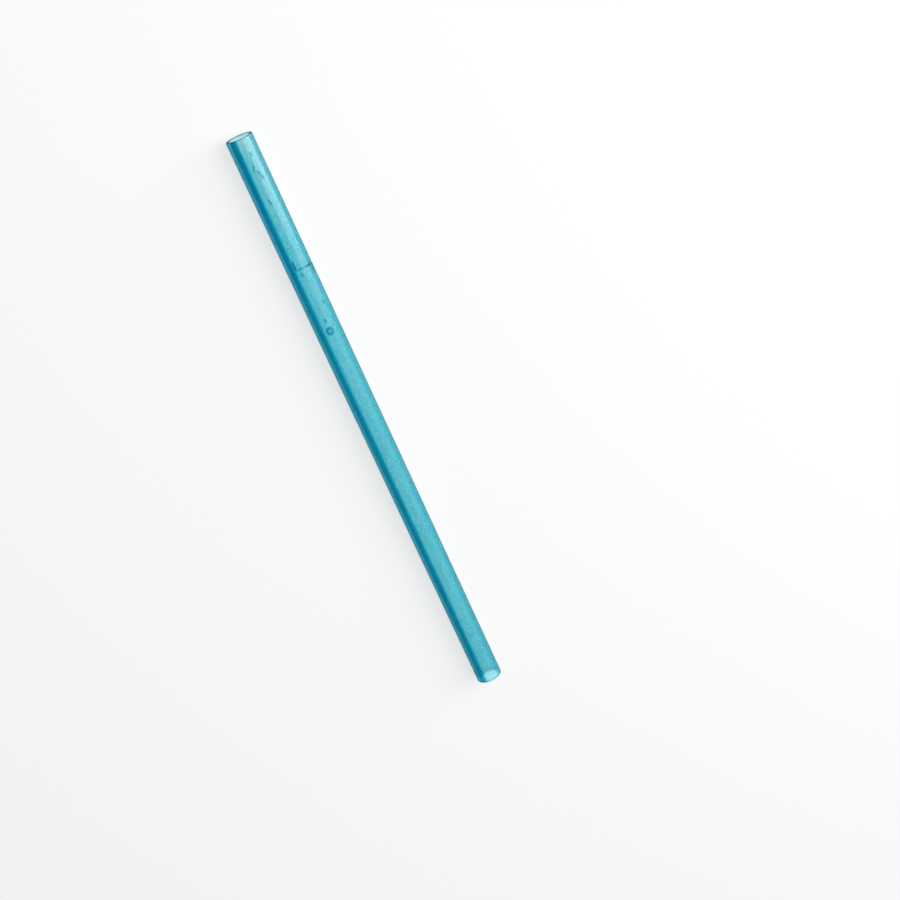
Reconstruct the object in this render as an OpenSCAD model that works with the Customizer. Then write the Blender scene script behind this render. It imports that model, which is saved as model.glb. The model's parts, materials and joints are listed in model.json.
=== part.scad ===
// Reusable drinking straw: one straight moulded tube with rounded lips, lying on its side.
// The mouth end points along +X. The straw rests on the plane z = 0, below the middle of its length.

/* [Tube] */
// Length from the mouth to the lower end
straw_length = 235; // [140:1:300]
// Outside diameter
outer_d = 10; // [8:0.1:14]
// Thickness of the tube wall
wall = 1.1; // [0.9:0.05:1.6]

/* [Lips] */
// Rounding of the outer edge at both ends
lip_outer_r = 0.4; // [0.2:0.05:0.45]
// Rounding of the inner edge at both ends
lip_inner_r = 0.3; // [0.2:0.05:0.4]

/* [Mark line] */
// Distance from the mouth to the middle of the mark line across the tube
mark_from_mouth = 50.5; // [30:0.5:90]
// Width of the mark line
mark_w = 0.8; // [0.4:0.05:1.2]
// Depth of the mark line below the outer surface
mark_depth = 0.2; // [0.18:0.01:0.3]
// Where the line begins, in degrees from the top of the straw towards -Y
mark_start_deg = -15; // [-40:1:0]
// Where the line ends, in degrees from the top of the straw towards -Y
mark_end_deg = 104; // [80:1:120]
// Length of the short leg that runs from the start of the line towards the mouth
leg_length = 3.6; // [2:0.1:6]
// Width of the short leg
leg_w = 0.7; // [0.3:0.05:1.2]

/* [Hidden] */
outer_r = outer_d / 2;
bore_r = outer_r - wall;
half_length = straw_length / 2;
mark_x = half_length - mark_from_mouth;
mark_floor_r = outer_r - mark_depth;
// How far a cutter reaches past the surface that it cuts
cut_over = 0.5;
$fn = 96;

// Places a shape made round +Z at the straw's own axis: +Z turns to +X,
// and the shape's angle 0 turns to straight down.
module on_axis(x = 0) {
    translate([x, 0, outer_r]) rotate([0, 90, 0]) children();
}

// Turns a shape made at angle 0 to a place round the straw, in degrees from the top towards -Y.
module from_top(deg) {
    rotate([0, 0, 180 + deg]) children();
}

// What is cut off a square corner at the origin's upper right to round it with radius r.
module corner_cut(r) {
    difference() {
        square(r + cut_over);
        circle(r);
    }
}

// Half section of the tube wall, upright beside its axis, with all four corners rounded.
module wall_section() {
    difference() {
        translate([bore_r, -half_length]) square([wall, straw_length]);
        for (end = [0, 1]) mirror([0, end]) {
            translate([outer_r - lip_outer_r, half_length - lip_outer_r])
                corner_cut(lip_outer_r);
            translate([bore_r + lip_inner_r, half_length - lip_inner_r])
                mirror([1, 0]) corner_cut(lip_inner_r);
        }
    }
}

// Cutter for the line: a part of a flat ring round the straw's axis.
module mark_line_cut() {
    on_axis(mark_x - mark_w / 2)
        from_top(mark_start_deg)
        rotate_extrude(angle = mark_end_deg - mark_start_deg)
        translate([mark_floor_r, 0])
        square([mark_depth + cut_over, mark_w]);
}

// Cutter for the short leg: a narrow slot along the straw at the start of the line.
module mark_leg_cut() {
    on_axis(mark_x)
        from_top(mark_start_deg)
        translate([mark_floor_r, -leg_w / 2, -mark_w / 2])
        cube([mark_depth + cut_over, leg_w, leg_length + mark_w / 2]);
}

// The straw: one moulded tube with the mark pressed into its outer surface.
module straw_tube() {
    color([0.24, 0.72, 0.80])
    difference() {
        on_axis() rotate_extrude() wall_section();
        mark_line_cut();
        mark_leg_cut();
    }
}

straw_tube();
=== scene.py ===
import json
import math

import bpy
import numpy as np
from mathutils import Matrix, Vector


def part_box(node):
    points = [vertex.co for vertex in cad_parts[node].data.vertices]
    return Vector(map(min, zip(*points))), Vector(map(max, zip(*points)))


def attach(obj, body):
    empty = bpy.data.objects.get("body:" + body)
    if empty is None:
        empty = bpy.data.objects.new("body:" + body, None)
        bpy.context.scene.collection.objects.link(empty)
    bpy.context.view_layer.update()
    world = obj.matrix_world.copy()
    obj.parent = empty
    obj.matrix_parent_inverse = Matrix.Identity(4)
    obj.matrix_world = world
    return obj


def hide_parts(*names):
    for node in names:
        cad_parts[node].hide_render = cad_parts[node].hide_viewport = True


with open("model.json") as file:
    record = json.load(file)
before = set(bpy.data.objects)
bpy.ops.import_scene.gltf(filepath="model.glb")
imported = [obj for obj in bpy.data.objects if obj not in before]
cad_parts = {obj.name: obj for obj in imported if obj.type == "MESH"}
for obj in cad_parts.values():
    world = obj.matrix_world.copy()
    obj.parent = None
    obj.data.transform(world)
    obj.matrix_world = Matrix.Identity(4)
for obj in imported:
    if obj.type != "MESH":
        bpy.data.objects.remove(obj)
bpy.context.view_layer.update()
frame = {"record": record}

scene = bpy.context.scene
scene.view_settings.view_transform = "Standard"

# Sizes that the frame gives, in metres. The straw lies along X on z = 0, mouth towards +X.
tubeLow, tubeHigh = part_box("straw_tube")
mounts = {mount["name"]: mount for mount in frame["record"]["mounts"]}
halfLength = (tubeHigh.x - tubeLow.x) / 2
outerRadius = (tubeHigh.z - tubeLow.z) / 2
boreRadius = mounts["bore"]["dims"]["r_mm"] / 1000
axisHeight = outerRadius
mm = 0.001


# Camera. It looks down on the lying straw, turned so that the straw leans in the picture
# the way it leans in the photograph, with the mouth at the upper left.
pictureView = {
    "size": 900,  # px, both ways
    "focal": 1650,  # px
    "mouthAt": (238.63, 137.32),  # middle of the mouth, px
    "mouthWidth": 28.8,  # width of the tube at its mouth, px
    "leanDeg": 24.15,  # lean of the straw from the picture's upright
    "tipDeg": 22.0,  # how far the mouth end comes towards the camera
}


def addCamera(look):
    # The straw's direction is set down in the camera's axes (right, up, back) from its lean and tip.
    # The floor's upright is the camera's back, less its part along the straw. Those two and their
    # cross product turn camera axes into the frame's axes.
    lean = math.radians(look["leanDeg"])
    tip = math.radians(look["tipDeg"])
    along = Vector((-math.sin(lean) * math.cos(tip), math.cos(lean) * math.cos(tip), math.sin(tip)))
    back = Vector((0, 0, 1))
    up = (back - along * back.dot(along)).normalized()
    side = up.cross(along)
    turn = Matrix((along, side, up))
    # The distance makes the tube as wide in the picture as mouthWidth says.
    depth = look["focal"] * 2 * outerRadius / look["mouthWidth"]
    half = look["size"] / 2
    right = (look["mouthAt"][0] - half) / look["focal"]
    above = (half - look["mouthAt"][1]) / look["focal"]
    mouth = Vector((halfLength, 0, axisHeight))
    data = bpy.data.cameras.new("camera")
    data.lens = data.sensor_width * look["focal"] / look["size"]
    camera = bpy.data.objects.new("camera", data)
    scene.collection.objects.link(camera)
    place = mouth - turn @ (depth * Vector((right, above, -1)))
    camera.matrix_world = Matrix.Translation(place) @ turn.to_4x4()
    scene.camera = camera
    return camera


camera = addCamera(pictureView)
print("camera at", [round(c, 3) for c in camera.location])


def newMesh(name, points, faces, smooth):
    # One mesh object from whole arrays: points (n, 3), faces (m, corners).
    mesh = bpy.data.meshes.new(name)
    mesh.vertices.add(len(points))
    mesh.vertices.foreach_set("co", points.astype(np.float32).ravel())
    mesh.loops.add(faces.size)
    mesh.loops.foreach_set("vertex_index", faces.astype(np.int32).ravel())
    mesh.polygons.add(len(faces))
    mesh.polygons.foreach_set("loop_start", np.arange(len(faces), dtype=np.int32) * faces.shape[1])
    mesh.polygons.foreach_set("use_smooth", np.full(len(faces), smooth))
    mesh.update(calc_edges=True)
    mesh.validate()
    piece = bpy.data.objects.new(name, mesh)
    scene.collection.objects.link(piece)
    return piece


# The straw. Lengths in millimetres; places along it are counted from the mouth,
# angles in degrees round it from the top, + towards -Y.
strawShape = {
    "lipOuter": 0.4,  # rounding of the rim, outside
    "lipInner": 0.3,  # rounding of the rim, inside
    "lipSteps": 7,  # faces across each rounding
    "lipDeep": 0.35,  # how far from the very end the lip gets painted shade, outside
    "boreDeep": 0.9,  # and inside
    "lipTop": 0.25,  # how much of that painted shade is left at the top
    "lipFade": 2,  # over how much length the surface's unevenness begins behind a lip
    "markAt": 50.5,  # the pressed line across the tube
    "markWidth": 0.8,
    "markDepth": 0.2,
    "markFrom": -15,
    "markTo": 104,
    "lineLook": [  # angle, and how much painted shade the line gets there
        (0, 0.3), (8, 0.2), (15, 0.1), (24, 0.12),
        (33, 0.35), (43, 0.85), (54, 0.9), (70, 0.2),
    ],
    "legLength": 3.6,  # the line's short leg towards the mouth
    "legWidth": 0.7,
    "legLook": 0.9,  # how much painted shade it gets
    "edgeSoft": 0.12,  # how far the pressed edges are rounded
    "waveHeight": 0.01,  # slow unevenness of the moulded surface
    "waveStretch": (7.3, 19.0),  # length for each radian of its two waves
    "dropLook": 0.5,  # how much painted shade the rims of the drop marks get
    "dropGrey": 0.3,  # and how much greyish painted shade
    "dropMarks": [  # at, angle, half length, half width, height, sideways lean
        (6.1, 18, 0.7, 0.4, 0.05, 0),
        (11.1, 4, 1.4, 0.34, 0.07, -0.24),
        (14.1, 20, 2.0, 0.45, 0.08, 0.28),
        (24.2, 7, 1.4, 0.34, 0.07, 0.2),
        (52.6, 0, 0.9, 0.5, 0.05, 0),
        (52.7, 69, 1.1, 0.8, 0.07, 0),
        (65.0, 37, 0.7, 0.6, 0.06, 0),
        (71.6, 6, 0.8, 0.5, 0.05, 0),
        (75.8, 6, 1.7, 1.6, 0.08, 0),
    ],
    # The mesh: the gap between rings and between lengthwise lines where nothing happens, and for each
    # finer place how far it reaches to both sides and the gap of its extra rings or lines
    "ringGap": 1.4,
    "boreGap": 3.4,  # between rings inside
    "turnGap": 2.4,
    "fineMark": (0.65, 0.09),
    "fineLegEnd": (0.4, 0.15),
    "fineDrop": (1.1, 0.22),  # reach as a share of the drop's half length
    "fineBoreEnd": (0.9, 0.12),
    "fineLegSides": (6.5, 0.8),
    "fineMarkEnd": (2.0, 0.9),
    "fineDropSides": [(0, 24, 2.4), (74, 8, 2.4)],  # with the angle first
}


def spread(low, high, gap, crowded):
    # Places from low to high, closer together round each crowded place. Their density is 1 / gap plus,
    # for each (middle, reach, closeGap), exp(-((place - middle) / reach) to the power 4) / closeGap.
    # The running sum of the density is read backwards at even steps.
    samples = 20001
    fine = np.linspace(low, high, samples)
    density = np.full(len(fine), 1 / gap)
    for middle, reach, closeGap in crowded:
        density += np.exp(-(((fine - middle) / reach) ** 4)) / closeGap
    total = np.concatenate([[0], np.cumsum((density[1:] + density[:-1]) / 2 * np.diff(fine))])
    count = int(math.ceil(total[-1]))
    return np.interp(np.linspace(0, total[-1], count + 1), total, fine)


def softBar(value, low, high, soft):
    # 1 between low and high, 0 outside. Each shoulder is t squared times (3 - 2 t), where t goes
    # from 0 to 1 over a width of soft, with its half at the limit.
    rise = np.clip((value - low) / soft + 0.5, 0, 1)
    fall = np.clip((high - value) / soft + 0.5, 0, 1)
    return rise**2 * (3 - 2 * rise) * fall**2 * (3 - 2 * fall)


def surfaceRelief(fromMouth, degrees, look):
    # How far the outer surface stands out of the plain cylinder, in mm: minus the pressed line
    # and its leg, plus drop marks (height times (1 - r squared) squared inside an ellipse),
    # minus wave height times (1 - the product of two slow sine waves). With it come two masks
    # of painted shade: how much painted shade the pressed line gets at a point, by its angle, and
    # how much the point lies on the rim of a drop mark (4 times r squared times (1 - r squared)), which
    # gets painted shade.
    arc = math.pi / 180 * outerRadius / mm  # mm for each degree
    soft = look["edgeSoft"]
    half = look["markWidth"] / 2
    across = softBar(fromMouth - look["markAt"], -half, half, soft)
    across = across * softBar(degrees * arc, look["markFrom"] * arc, look["markTo"] * arc, soft)
    legHalf = look["legWidth"] / 2
    leg = softBar((degrees - look["markFrom"]) * arc, -legHalf, legHalf, soft)
    leg = leg * softBar(look["markAt"] - fromMouth, 0, look["legLength"], soft)
    height = -look["markDepth"] * np.maximum(across, leg)
    lineAngles, lineShares = zip(*look["lineLook"])
    pressed = np.maximum(across * np.interp(degrees, lineAngles, lineShares), leg * look["legLook"])
    rimShade = np.zeros_like(height)
    for at, angle, halfLong, halfWide, tall, lean in look["dropMarks"]:
        sideways = (degrees - angle) * arc - lean * (fromMouth - at)
        rSquared = ((fromMouth - at) / halfLong) ** 2 + (sideways / halfWide) ** 2
        inside = np.clip(1 - rSquared, 0, 1)
        height = height + tall * inside**2
        rimShade = np.maximum(rimShade, 4 * rSquared * inside)
    turn = np.radians(degrees)
    shortWave, longWave = look["waveStretch"]
    wave = np.sin(fromMouth / shortWave + 2 * turn) * np.sin(fromMouth / longWave + turn)
    return height + look["waveHeight"] * (wave - 1), pressed, rimShade


def wallSection(look, long, outer, bore):
    # The section of the wall as a closed line of places (distance from the mouth, radius), in mm:
    # the outer line from the far end to the mouth, a quarter circle round the rim's outer edge and
    # one round its inner edge, the bore line, and the same two backwards at the far end.
    # The last value says which of the places lie on the outer line.
    lipOuter = look["lipOuter"]
    lipInner = look["lipInner"]
    crowded = [(look["markAt"], *look["fineMark"])]
    crowded += [(look["markAt"] - look["legLength"], *look["fineLegEnd"])]
    dropReach, dropGap = look["fineDrop"]
    crowded += [(drop[0], drop[2] * dropReach, dropGap) for drop in look["dropMarks"]]
    line = spread(lipOuter, long - lipOuter, look["ringGap"], crowded)[::-1][1:-1]
    quarter = np.linspace(0, math.pi / 2, look["lipSteps"] + 1)
    lipAt = np.concatenate([lipOuter - lipOuter * np.sin(quarter), lipInner - lipInner * np.cos(quarter)])
    outerArc = outer - lipOuter + lipOuter * np.cos(quarter)
    innerArc = bore + lipInner - lipInner * np.sin(quarter)
    lipRadius = np.concatenate([outerArc, innerArc])
    boreEnds = [(end, *look["fineBoreEnd"]) for end in (lipInner, long - lipInner)]
    inside = spread(lipInner, long - lipInner, look["boreGap"], boreEnds)[1:-1]
    at = np.concatenate([line, lipAt, inside, (long - lipAt)[::-1]])
    radii = [np.full(len(line), outer), lipRadius, np.full(len(inside), bore), lipRadius[::-1]]
    return at, np.concatenate(radii), np.arange(len(at)) < len(line)


def closedGrid(rows, columns):
    # Quads of a grid whose last row meets the first and whose last column meets the first.
    i = np.arange(rows)[:, None]
    j = np.arange(columns)[None, :]
    nextI = (i + 1) % rows
    nextJ = (j + 1) % columns
    corners = [i * columns + j, i * columns + nextJ, nextI * columns + nextJ, nextI * columns + j]
    return np.stack(corners, axis=-1).reshape(-1, 4)


def buildStraw(look):
    # The wall's section carried round the axis. A place at distance d from the mouth, radius r and
    # angle a is (half length - d, -r sin a, axis height + r cos a), and on the outer line the relief
    # is added to r.
    long = 2 * halfLength / mm
    bore = boreRadius / mm
    at, radius, onLine = wallSection(look, long, outerRadius / mm, bore)
    onLine = onLine[:, None]
    crowded = [(look["markFrom"], *look["fineLegSides"]), (look["markTo"], *look["fineMarkEnd"])]
    angles = spread(-180, 180, look["turnGap"], crowded + look["fineDropSides"])[:-1]
    atGrid = np.repeat(at[:, None], len(angles), axis=1)
    angleGrid = np.repeat(angles[None, :], len(at), axis=0)
    relief, pressed, rimShade = surfaceRelief(atGrid, angleGrid, look)
    fromEnd = np.minimum(atGrid, long - atGrid)
    fade = np.clip((fromEnd - look["lipOuter"]) / look["lipFade"], 0, 1)  # the rims stay true
    r = radius[:, None] + np.where(onLine, relief * fade, 0)
    turn = np.radians(angleGrid)
    x = halfLength - atGrid * mm
    points = np.stack([x, -r * mm * np.sin(turn), axisHeight + r * mm * np.cos(turn)], axis=-1)
    tube = newMesh("straw", points.reshape(-1, 3), closedGrid(len(at), len(angles)), True)

    # Masks of painted shade for the plastic. A lip's painted shade falls evenly to nothing over lipReach
    # from the very end, and round the tube it goes from full below to the share lipTop at the top.
    lipReach = np.where(radius < bore + look["lipInner"], look["boreDeep"], look["lipDeep"])
    lipShade = np.clip(1 - np.minimum(at, long - at) / lipReach, 0, 1)[:, None]
    lipShade = lipShade * (look["lipTop"] + (1 - look["lipTop"]) * (1 - np.cos(turn)) / 2)
    masks = {
        "pressed": np.where(onLine, np.maximum(pressed, rimShade * look["dropLook"]), 0),
        "rimShade": np.where(onLine, rimShade * look["dropGrey"], lipShade),
    }
    for name, mask in masks.items():
        values = mask.astype(np.float32).ravel()
        tube.data.attributes.new(name, "FLOAT", "POINT").data.foreach_set("value", values)
    return tube


straw = buildStraw(strawShape)
print("straw:", len(straw.data.polygons), "faces")


# The plastic: clear turquoise, a little milky, glossy. Its colour comes from the surface and
# from the depth of plastic that the light passes. The surface colour also holds painted shade
# (a dark band and strips along the sides, the lips, the pressed line, the drop marks' rims) and
# painted light near the mouth.
plasticLook = {
    "colour": (0.55, 0.93, 0.97, 1),
    # A deeper colour, for random mottling and for painted shade in the strips, the pressed line and the
    # drop marks' rims
    "deepToneAndShadeColour": (0.0001, 0.14, 0.30, 1),
    # Painted light near the mouth, as a paler colour
    "paintedLightColour": (0.94, 0.97, 0.94, 1),
    # Painted light near the mouth: how pale the bore and the outside get near the mouth, and the distances
    # from the mouth, in mm, where that begins and where it is full
    "borePale": (0.85, 9, 1),
    "skinPale": (0.35, 50, 5),
    "skinFrom": (0.3, 0.4),  # mm out from the bore between which the outer skin begins
    # Strips of painted shade along the tube, in degrees from the top towards +Y: the share rises between
    # the first two angles and falls between the next two. Then the full share, at the mouth and far away.
    "shadeStrips": [
        (12, 31, 41, 64, 1.0, 0.8),  # the painted dark band along the +Y side
        (54, 64, 100, 112, 0.2, 0.2),
        (-112, -104, -46, -34, 0.1, 0.12),
    ],
    "stripTurn": 3.5,  # degrees by which the painted shade strips start earlier at the mouth
    "stripTurnEnd": 27,  # mm from the mouth where that ends
    "stripFar": 75,  # mm from the mouth, where far away begins
    # Painted shade on the lips and the drop marks' rims
    "rimShadeColour": (0.06, 0.15, 0.2, 1),
    "rimShadeShare": 0.92,  # how much of this painted shade the lips and the drop marks' rims take
    "mottleShare": 0.14,  # how much deeper the mottling is
    "mottleScale": 1500,
    "mottleDetail": 2,
    "mottleRange": (0.5, 0.75),  # of its noise
    "streakScale": (30, 900, 900),  # flow lines along the tube
    "streakDetail": 4,
    "streakRange": (0.3, 0.7),  # of their noise
    "streakShade": 0.93,  # the colour in them, as a share
    "streakRough": 0.1,
    "grainScale": 2600,
    "grainDetail": 3,
    "grainBump": 0.25,
    "specksScale": 900,
    "speckEdge": (0.16, 0.05),  # a speck's outside and inside, as distances from its middle
    "speckRough": 0.15,
    "speckBump": 0.6,
    "bumpStrength": 0.14,
    "bumpDepth": 0.03,  # mm
    "roughness": 0.22,
    "ior": 1.5,
    "transmission": 0.92,
    "depthColour": (0.46, 0.815, 0.875, 1),
    "depthDensity": 500,
}


def addNode(tree, kind, **settings):
    node = tree.nodes.new(kind)
    for name, value in settings.items():
        setattr(node, name, value)
    return node


def feed(tree, value, socket):
    # Links the socket to another one, or sets it to a fixed number or colour.
    if isinstance(value, bpy.types.NodeSocket):
        tree.links.new(value, socket)
    else:
        socket.default_value = value


def mathNode(tree, operation, *values):
    # One Math node; each of its inputs is a socket or a number.
    node = addNode(tree, "ShaderNodeMath", operation=operation)
    for socket, value in zip(node.inputs, values):
        feed(tree, value, socket)
    return node.outputs[0]


def rampNode(tree, value, low, high, outLow=0.0, outHigh=1.0):
    # Smooth step of value: outLow at low and outHigh at high.
    node = addNode(tree, "ShaderNodeMapRange", interpolation_type="SMOOTHSTEP")
    inputs = {"Value": value, "From Min": low, "From Max": high, "To Min": outLow, "To Max": outHigh}
    for name, setting in inputs.items():
        feed(tree, setting, node.inputs[name])
    return node.outputs[0]


def mixNode(tree, share, first, second, blend="MIX"):
    # Two colours mixed by a share; each of the three is a socket or a fixed value.
    node = addNode(tree, "ShaderNodeMix", data_type="RGBA", blend_type=blend)
    for name, value in {"Factor": share, "A": first, "B": second}.items():
        feed(tree, value, node.inputs[name])
    return node.outputs["Result"]


def noiseNode(tree, place, scale, detail):
    node = addNode(tree, "ShaderNodeTexNoise")
    for name, value in {"Vector": place, "Scale": scale, "Detail": detail}.items():
        feed(tree, value, node.inputs[name])
    return node.outputs["Fac"]


def outerSkin(tree, look, place):
    # 1 in the outer skin and 0 by the bore: a smooth step of the distance from the axis, which is
    # the root of y squared plus z squared.
    ySquared = mathNode(tree, "MULTIPLY", place["Y"], place["Y"])
    rSquared = mathNode(tree, "MULTIPLY_ADD", place["Z"], place["Z"], ySquared)
    start, full = (boreRadius + out * mm for out in look["skinFrom"])
    return rampNode(tree, mathNode(tree, "SQRT", rSquared), start, full)


def shadeStripShare(tree, look, place):
    # How much painted shade the strips get: the sum over them of a smooth rise of the angle round the
    # axis, times a smooth fall of it, times the strip's full share at that distance from the mouth.
    angle = mathNode(tree, "ARCTAN2", place["Y"], place["Z"])
    turnEnd = halfLength - look["stripTurnEnd"] * mm
    early = rampNode(tree, place["X"], turnEnd, halfLength, 0, look["stripTurn"])
    degrees = mathNode(tree, "ADD", mathNode(tree, "DEGREES", angle), early)
    farAway = halfLength - look["stripFar"] * mm
    total = 0.0
    for riseLow, riseHigh, fallLow, fallHigh, nearShare, farShare in look["shadeStrips"]:
        rise = rampNode(tree, degrees, riseLow, riseHigh)
        fall = rampNode(tree, degrees, fallHigh, fallLow)
        share = rampNode(tree, place["X"], halfLength, farAway, nearShare, farShare)
        strip = mathNode(tree, "MULTIPLY", rise, fall)
        total = mathNode(tree, "MULTIPLY_ADD", strip, share, total)
    return total


def mouthPaintedLight(tree, look, place, skin):
    # How much painted light a place gets, as paleness: a smooth step towards the mouth, one for the bore
    # and one for the skin, and the two mixed by the skin's mask.
    pale = []
    for most, start, full in (look["skinPale"], look["borePale"]):
        pale.append(rampNode(tree, place["X"], halfLength - start * mm, halfLength - full * mm, 0, most))
    apart = mathNode(tree, "SUBTRACT", pale[0], pale[1])
    return mathNode(tree, "MULTIPLY_ADD", apart, skin, pale[1])


def plasticColour(tree, look, place, pattern, streaks):
    # Even turquoise with faint flow lines, with painted light near the mouth that makes it paler,
    # times (deep / even) to the power of the share. The share is the larger one of the painted
    # shade of the strips and of the pressed mask, plus the mottling's random deeper tone. The lips
    # get dark, greyish painted shade, and the drop marks' rims a little.
    skin = outerSkin(tree, look, place)
    # painted shade: the dark band and the strips along the sides
    shadeStrips = mathNode(tree, "MULTIPLY", shadeStripShare(tree, look, place), skin)
    # painted shade of the pressed line, its leg and the drop marks' rims
    pressed = addNode(tree, "ShaderNodeAttribute", attribute_name="pressed").outputs["Fac"]
    mottle = noiseNode(tree, pattern, look["mottleScale"], look["mottleDetail"])
    mottled = rampNode(tree, mottle, *look["mottleRange"], 0, look["mottleShare"])
    deepToneAndShadeShare = mathNode(tree, "ADD", mathNode(tree, "MAXIMUM", pressed, shadeStrips), mottled)

    shaded = [c * look["streakShade"] for c in look["colour"][:3]] + [1]
    colour = mixNode(tree, rampNode(tree, streaks, *look["streakRange"]), look["colour"], shaded)
    # painted light near the mouth, as a paler colour
    colour = mixNode(tree, mouthPaintedLight(tree, look, place, skin), colour, look["paintedLightColour"])
    # the deeper colour: painted shade, and the mottling's random tone
    deepToneAndShade = addNode(tree, "ShaderNodeCombineColor")
    for socket, deep, even in zip(deepToneAndShade.inputs, look["deepToneAndShadeColour"], look["colour"]):
        feed(tree, mathNode(tree, "POWER", deep / even, deepToneAndShadeShare), socket)
    colour = mixNode(tree, 1, colour, deepToneAndShade.outputs[0], "MULTIPLY")
    # painted shade on the lips and the drop marks' rims, dark and greyish
    rimShade = addNode(tree, "ShaderNodeAttribute", attribute_name="rimShade").outputs["Fac"]
    return mixNode(tree, mathNode(tree, "MULTIPLY", rimShade, look["rimShadeShare"]), colour, look["rimShadeColour"])


def makePlastic(look):
    material = bpy.data.materials.new("turquoise_plastic")
    material.use_nodes = True
    tree = material.node_tree
    shader = tree.nodes["Principled BSDF"]
    middle = addNode(tree, "ShaderNodeMapping")  # puts the pattern's origin on the straw's axis
    middle.inputs["Location"].default_value = (0, 0, -axisHeight)
    feed(tree, addNode(tree, "ShaderNodeTexCoord").outputs["Object"], middle.inputs["Vector"])
    pattern = middle.outputs[0]
    place = addNode(tree, "ShaderNodeSeparateXYZ")
    feed(tree, pattern, place.inputs[0])

    # Flow lines, fine grain and small specks
    stretched = addNode(tree, "ShaderNodeMapping")
    stretched.inputs["Scale"].default_value = look["streakScale"]
    feed(tree, pattern, stretched.inputs["Vector"])
    streaks = noiseNode(tree, stretched.outputs[0], 1, look["streakDetail"])
    grain = noiseNode(tree, pattern, look["grainScale"], look["grainDetail"])
    cells = addNode(tree, "ShaderNodeTexVoronoi")
    cells.inputs["Scale"].default_value = look["specksScale"]
    feed(tree, pattern, cells.inputs["Vector"])
    speck = rampNode(tree, cells.outputs["Distance"], *look["speckEdge"])

    colour = plasticColour(tree, look, place.outputs, pattern, streaks)
    feed(tree, colour, shader.inputs["Base Color"])

    lowRough = look["roughness"] - look["streakRough"] / 2
    rough = mathNode(tree, "MULTIPLY_ADD", streaks, look["streakRough"], lowRough)
    rough = mathNode(tree, "MULTIPLY_ADD", speck, look["speckRough"], rough)
    feed(tree, rough, shader.inputs["Roughness"])
    height = mathNode(tree, "MULTIPLY_ADD", grain, look["grainBump"], streaks)
    height = mathNode(tree, "MULTIPLY_ADD", speck, look["speckBump"], height)
    bump = addNode(tree, "ShaderNodeBump")
    bump.inputs["Strength"].default_value = look["bumpStrength"]
    bump.inputs["Distance"].default_value = look["bumpDepth"] * mm
    feed(tree, height, bump.inputs["Height"])
    feed(tree, bump.outputs[0], shader.inputs["Normal"])

    shader.inputs["IOR"].default_value = look["ior"]
    shader.inputs["Transmission Weight"].default_value = look["transmission"]
    depth = addNode(tree, "ShaderNodeVolumeAbsorption")
    depth.inputs["Color"].default_value = look["depthColour"]
    depth.inputs["Density"].default_value = look["depthDensity"]
    feed(tree, depth.outputs[0], tree.nodes["Material Output"].inputs["Volume"])
    return material


straw.data.materials.append(makePlastic(plasticLook))
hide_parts("straw_tube")
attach(straw, "root")
print("plastic ready")


# Floor, world and lamps. The floor gives part of its own light to the camera, to glossy rays and
# to rays that come through the straw, so it looks white and keeps the straw's shadow.
studio = {
    "floorSize": 24.0,  # m, both ways
    "floorColour": (0.36, 0.36, 0.36, 1),
    "floorRoughness": 0.9,
    "floorLight": {"plain": 0, "Is Camera Ray": 0.745, "Is Glossy Ray": 0.08, "Is Transmission Ray": 0.94},
    "skyLight": {"plain": 0.01, "Is Camera Ray": 0.99, "Is Glossy Ray": 0, "Is Transmission Ray": 0.19},
    "white": (1, 1, 1, 1),
    "lamps": {
        "key_lamp": {"at": (0.26, -0.66, 0.75), "size": 0.9, "watts": 9.0},
        "side_lamp": {"at": (0.06, -0.8, 0.24), "size": 0.4, "watts": 2.2},
    },
}


def rayStrength(tree, light):
    # The plain strength plus what each kind of ray gets on top of it.
    path = addNode(tree, "ShaderNodeLightPath")
    strength = light["plain"]
    for kind, more in light.items():
        if kind != "plain":
            strength = mathNode(tree, "MULTIPLY_ADD", path.outputs[kind], more, strength)
    return strength


def addFloor(look):
    half = look["floorSize"] / 2
    points = half * np.array([[-1, -1, 0], [1, -1, 0], [1, 1, 0], [-1, 1, 0]])
    floor = newMesh("floor", points, np.array([[0, 1, 2, 3]]), False)
    material = bpy.data.materials.new("floor")
    material.use_nodes = True
    tree = material.node_tree
    shader = tree.nodes["Principled BSDF"]
    shader.inputs["Base Color"].default_value = look["floorColour"]
    shader.inputs["Roughness"].default_value = look["floorRoughness"]
    shader.inputs["Specular IOR Level"].default_value = 0
    shader.inputs["Emission Color"].default_value = look["white"]
    feed(tree, rayStrength(tree, look["floorLight"]), shader.inputs["Emission Strength"])
    floor.data.materials.append(material)


def addSky(look):
    world = bpy.data.worlds.new("world")
    world.use_nodes = True
    tree = world.node_tree
    sky = tree.nodes["Background"]
    sky.inputs["Color"].default_value = look["white"]
    feed(tree, rayStrength(tree, look["skyLight"]), sky.inputs["Strength"])
    scene.world = world


def addLamps(look):
    # Square lamps that point at the middle of the straw's place on the floor.
    for name, spec in look["lamps"].items():
        data = bpy.data.lights.new(name, "AREA")
        data.size = spec["size"]
        data.energy = spec["watts"]
        lamp = bpy.data.objects.new(name, data)
        scene.collection.objects.link(lamp)
        lamp.location = spec["at"]
        lamp.rotation_euler = (-Vector(spec["at"])).to_track_quat("-Z", "Y").to_euler()


addFloor(studio)
addSky(studio)
addLamps(studio)
print("studio ready")
